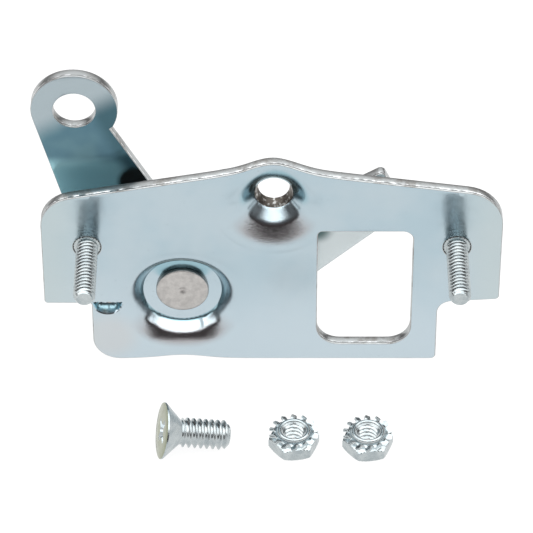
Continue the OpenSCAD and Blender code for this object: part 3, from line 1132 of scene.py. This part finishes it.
def lever_zinc_painted_reflections(name):
    """The lever's zinc with painted reflections: a painted pale reflection at the eye's upper left, a
    painted teal reflection down the arm, lighter low on the arm and darker at its right edge, paler towards
    its right arm, and two painted dark patches.
    """
    look = Look(name, 0.7)
    x, z = look.axis("X"), look.axis("Z")
    across = look.maths("ADD", x, look.maths("MULTIPLY", z, 0.42))
    pale_side = look.maths("SUBTRACT", z, look.maths("MULTIPLY", x, 0.55))
    eye = look.ramp(pale_side, 0.051, 0.0585)
    foot = look.ramp(z, 0.0202, 0.0170)
    deep = look.ramp(across, -0.0275, -0.0235)
    cloud = look.ramp(look.noise(0.12, 2, 0.5), 0.35, 0.65)
    # painted teal reflection down the arm, varied by a cloudy tone
    arm = look.mix(cloud, (0.12, 0.23, 0.27, 1), (0.085, 0.18, 0.23, 1))
    # painted lighter teal low on the arm, standing in for the reflection of the plate's back
    arm = look.mix(foot, arm, (0.29, 0.52, 0.575, 1))
    # painted dark reflection along the arm's right edge
    arm = look.mix(deep, arm, (0.05, 0.12, 0.15, 1))
    right = look.ramp(x, -0.030, -0.022)
    arm = look.mix(right, arm, (0.62, 0.68, 0.69, 1))
    # painted near-black reflection of the gap behind the plate, just above its top edge
    arm = look.mix(look.spot(-29.6, 12.6, 3.2, 5.0), arm, (0.012, 0.014, 0.014, 1))
    # painted shadow on the lever at the upper left corner of the plate's window
    arm = look.mix(look.spot(10.0, -1.4, 1.2, 4.4), arm, (0.10, 0.16, 0.16, 1))
    # painted pale reflection on the eye's upper left
    color = look.mix(eye, arm, (0.38, 0.45, 0.48, 1))
    rough = look.ramp(look.noise(0.25, 3, 0.6), 0.3, 0.7, 0.18, 0.26)
    waves = look.bump(look.noise(0.12, 2, 0.5), 0.12, 0.35)
    normal = look.bump(look.noise(2.2, 4, 0.65), 0.012, 0.5, waves)
    return look.finish(color, rough, normal)


def back_zinc(name):
    """The hidden back of the plate: duller zinc with drawing marks."""
    look = Look(name, 0.35)
    cloud = look.noise(0.2, 3, 0.6)
    color = look.mix(look.ramp(cloud, 0.3, 0.7), (0.53, 0.60, 0.63, 1), (0.49, 0.57, 0.605, 1))
    normal = look.bump(look.noise(2.2, 4, 0.65), 0.02, 0.5)
    return look.finish(color, look.ramp(cloud, 0.3, 0.7, 0.42, 0.6), normal)


def cut_edge(name):
    """The sheared edge: smooth and pale, with a torn line a little behind the front corner, along which a
    broken near-white line is a painted glint.
    """
    look = Look(name)
    across = look.add("Attribute", attribute_name="across").outputs["Fac"]
    line = look.maths("MULTIPLY", look.ramp(across, 0.13, 0.2), look.ramp(across, 0.36, 0.27))
    broken = look.ramp(look.noise(0.9, 3, 0.6), 0.42, 0.58)
    torn = look.noise(0.16, 4, 0.7)
    color = look.mix(look.ramp(torn, 0.48, 0.66), (0.44, 0.455, 0.455, 1), (0.28, 0.275, 0.265, 1))
    # painted glint: a broken near-white line along the torn line
    color = look.mix(look.maths("MULTIPLY", line, broken), color, (0.95, 0.96, 0.98, 1))
    normal = look.bump(look.noise(1.4, 3, 0.6), 0.03, 0.4)
    return look.finish(color, look.ramp(torn, 0.3, 0.7, 0.28, 0.42), normal)


def torn_bore(name):
    """The punched bore: brown-grey, torn, with bright flecks."""
    look = Look(name)
    torn = look.noise(0.9, 3, 0.6)
    color = look.mix(look.ramp(torn, 0.5, 0.62), (0.13, 0.115, 0.10, 1), (0.55, 0.55, 0.53, 1))
    normal = look.bump(torn, 0.3, 1.0)
    return look.finish(color, look.ramp(torn, 0.3, 0.7, 0.45, 0.3), normal)


def bright_hardware(name):
    look = Look(name)
    clouds = look.ramp(look.noise(0.5, 3, 0.6), 0.35, 0.7)
    color = look.mix(clouds, (0.48, 0.52, 0.525, 1), (0.36, 0.405, 0.42, 1))
    normal = look.bump(look.noise(3.0, 3, 0.6), 0.01, 0.5)
    return look.finish(color, look.ramp(look.noise(0.8, 2, 0.5), 0.3, 0.7, 0.2, 0.33), normal)


def head_face(name):
    """The screw head's flat face: a faint yellow-green cast on the zinc."""
    look = Look(name)
    blotch = look.noise(0.6, 4, 0.65)
    color = look.mix(look.ramp(blotch, 0.3, 0.7), (0.24, 0.265, 0.16, 1), (0.19, 0.21, 0.12, 1))
    normal = look.bump(look.noise(3.0, 3, 0.6), 0.012, 0.5)
    return look.finish(color, look.ramp(blotch, 0.3, 0.7, 0.12, 0.2), normal)


def matte_rivet(name):
    look = Look(name)
    blotch = look.noise(0.9, 4, 0.7)
    color = look.mix(look.ramp(blotch, 0.3, 0.7), (0.56, 0.54, 0.52, 1), (0.47, 0.455, 0.44, 1))
    normal = look.bump(blotch, 0.06, 0.4, look.bump(look.noise(3.0, 3, 0.6), 0.02, 0.5))
    return look.finish(color, look.ramp(blotch, 0.3, 0.7, 0.38, 0.52), normal)


PLATE_ZINC_AND_PAINTED_LIGHT = zinc_sheet_and_painted_light("plate_zinc_and_painted_light", (0.455, 0.54, 0.585, 1), (0.405, 0.51, 0.565, 1), 0.15, 0.24, 0.045)
LEVER_ZINC_PAINTED_REFLECTIONS = lever_zinc_painted_reflections("lever_zinc_painted_reflections")
BACK_ZINC = back_zinc("back_zinc")
EDGE = cut_edge("cut_edge")
HARDWARE = bright_hardware("bright_zinc")
BORE = torn_bore("torn_bore")
RIVET = matte_rivet("rivet_face")
HEAD_FACE = head_face("screw_face")

for piece in bpy.context.scene.objects:
    if piece.type != "MESH" or piece.name.startswith("floor"):
        continue
    if piece.name == "plate_sheet":
        looks = (PLATE_ZINC_AND_PAINTED_LIGHT, EDGE, BACK_ZINC, BORE)
    elif piece.name == "lever_sheet":
        looks = (LEVER_ZINC_PAINTED_REFLECTIONS, EDGE, BACK_ZINC)
    elif piece.name.startswith("rivet"):
        looks = (RIVET,)
    elif piece.name == "screw_head":
        looks = (HARDWARE, HEAD_FACE)
    elif piece.name.startswith(("stud", "screw", "nut", "washer")):
        looks = (HARDWARE,)
    else:
        continue
    kinds = [face.material_index for face in piece.data.polygons]
    piece.data.materials.clear()
    for look in looks:
        piece.data.materials.append(look)
    piece.data.polygons.foreach_set("material_index", kinds)


# ---------------------------------------------------------------- studio
def make_floor():
    """A white table top that ends a hand's breadth in front of the hardware."""
    base = PLATE_LOW[2]
    rim = [(-700, -380), (700, -380), (700, 900), (-700, 900)]
    mesh = bpy.data.meshes.new("floor")
    mesh.from_pydata([(x * MM, y * MM, (base - 0.02) * MM) for x, y in rim], [], [(0, 1, 2, 3)])
    floor = bpy.data.objects.new("floor", mesh)
    bpy.context.scene.collection.objects.link(floor)
    look = Look("floor_white", 0.0)
    look.finish((0.12, 0.12, 0.12, 1), 0.9)
    look.shader.inputs["Specular IOR Level"].default_value = 0.0
    look.shader.inputs["Emission Color"].default_value = (1, 1, 1, 1)
    look.shader.inputs["Emission Strength"].default_value = 0.93
    mesh.materials.append(look.material)


def soft_box(name, centre, size, power, aim=(0, 0, 0)):
    light = bpy.data.lights.new(name, "AREA")
    light.shape = "RECTANGLE"
    light.size, light.size_y = size
    light.energy = power
    lamp = bpy.data.objects.new(name, light)
    lamp.location = centre
    lamp.rotation_euler = (Vector(aim) - Vector(centre)).to_track_quat("-Z", "Y").to_euler()
    bpy.context.scene.collection.objects.link(lamp)


def make_world():
    """Dark near the horizon, brighter overhead; plain white where the camera looks past the floor."""
    world = bpy.data.worlds.new("studio")
    bpy.context.scene.world = world
    world.use_nodes = True
    tree = world.node_tree
    back = tree.nodes["Background"]
    coord = tree.nodes.new("ShaderNodeTexCoord")
    split = tree.nodes.new("ShaderNodeSeparateXYZ")
    ramp = tree.nodes.new("ShaderNodeValToRGB")
    tree.links.new(coord.outputs["Generated"], split.inputs[0])
    tree.links.new(split.outputs["Z"], ramp.inputs[0])
    stops = ramp.color_ramp
    stops.elements[0].position = 0.0
    stops.elements[0].color = (0.075, 0.065, 0.065, 1)
    stops.elements[1].position = 1.0
    stops.elements[1].color = (0.7, 0.75, 0.78, 1)
    for at, shade in ((0.35, (0.11, 0.10, 0.10, 1)), (0.6, (0.16, 0.16, 0.165, 1))):
        stops.elements.new(at).color = shade
    path = tree.nodes.new("ShaderNodeLightPath")
    pick = tree.nodes.new("ShaderNodeMix")
    pick.data_type = "RGBA"
    tree.links.new(path.outputs["Is Camera Ray"], pick.inputs[0])
    tree.links.new(ramp.outputs[0], pick.inputs[6])
    pick.inputs[7].default_value = (1, 1, 1, 1)
    tree.links.new(pick.outputs[2], back.inputs[0])


def make_camera():
    camera = bpy.data.objects.new("camera", bpy.data.cameras.new("camera"))
    bpy.context.scene.collection.objects.link(camera)
    elevation = math.radians(41.2)
    distance = 772.6
    target = Vector((-1.21, 0, -5.64)) * MM
    camera.location = target + Vector((0, -math.cos(elevation), math.sin(elevation))) * distance * MM
    camera.rotation_euler = (math.pi / 2 - elevation, 0, 0)
    camera.data.lens = 236.4
    camera.data.clip_start = 0.01
    bpy.context.scene.camera = camera


make_floor()
soft_box("overhead", (0, -0.22, 0.85), (2.4, 1.4), 21, (0, -0.22, 0))
soft_box("left_panel", (-1.2, -0.1, 0.55), (0.9, 0.7), 3.6)
soft_box("right_panel", (1.2, -0.1, 0.55), (0.9, 0.7), 3.6)
soft_box("rear_panel", (0, 0.95, 0.8), (2.2, 0.8), 4.6)
make_world()
make_camera()
bpy.context.scene.view_settings.view_transform = "Standard"
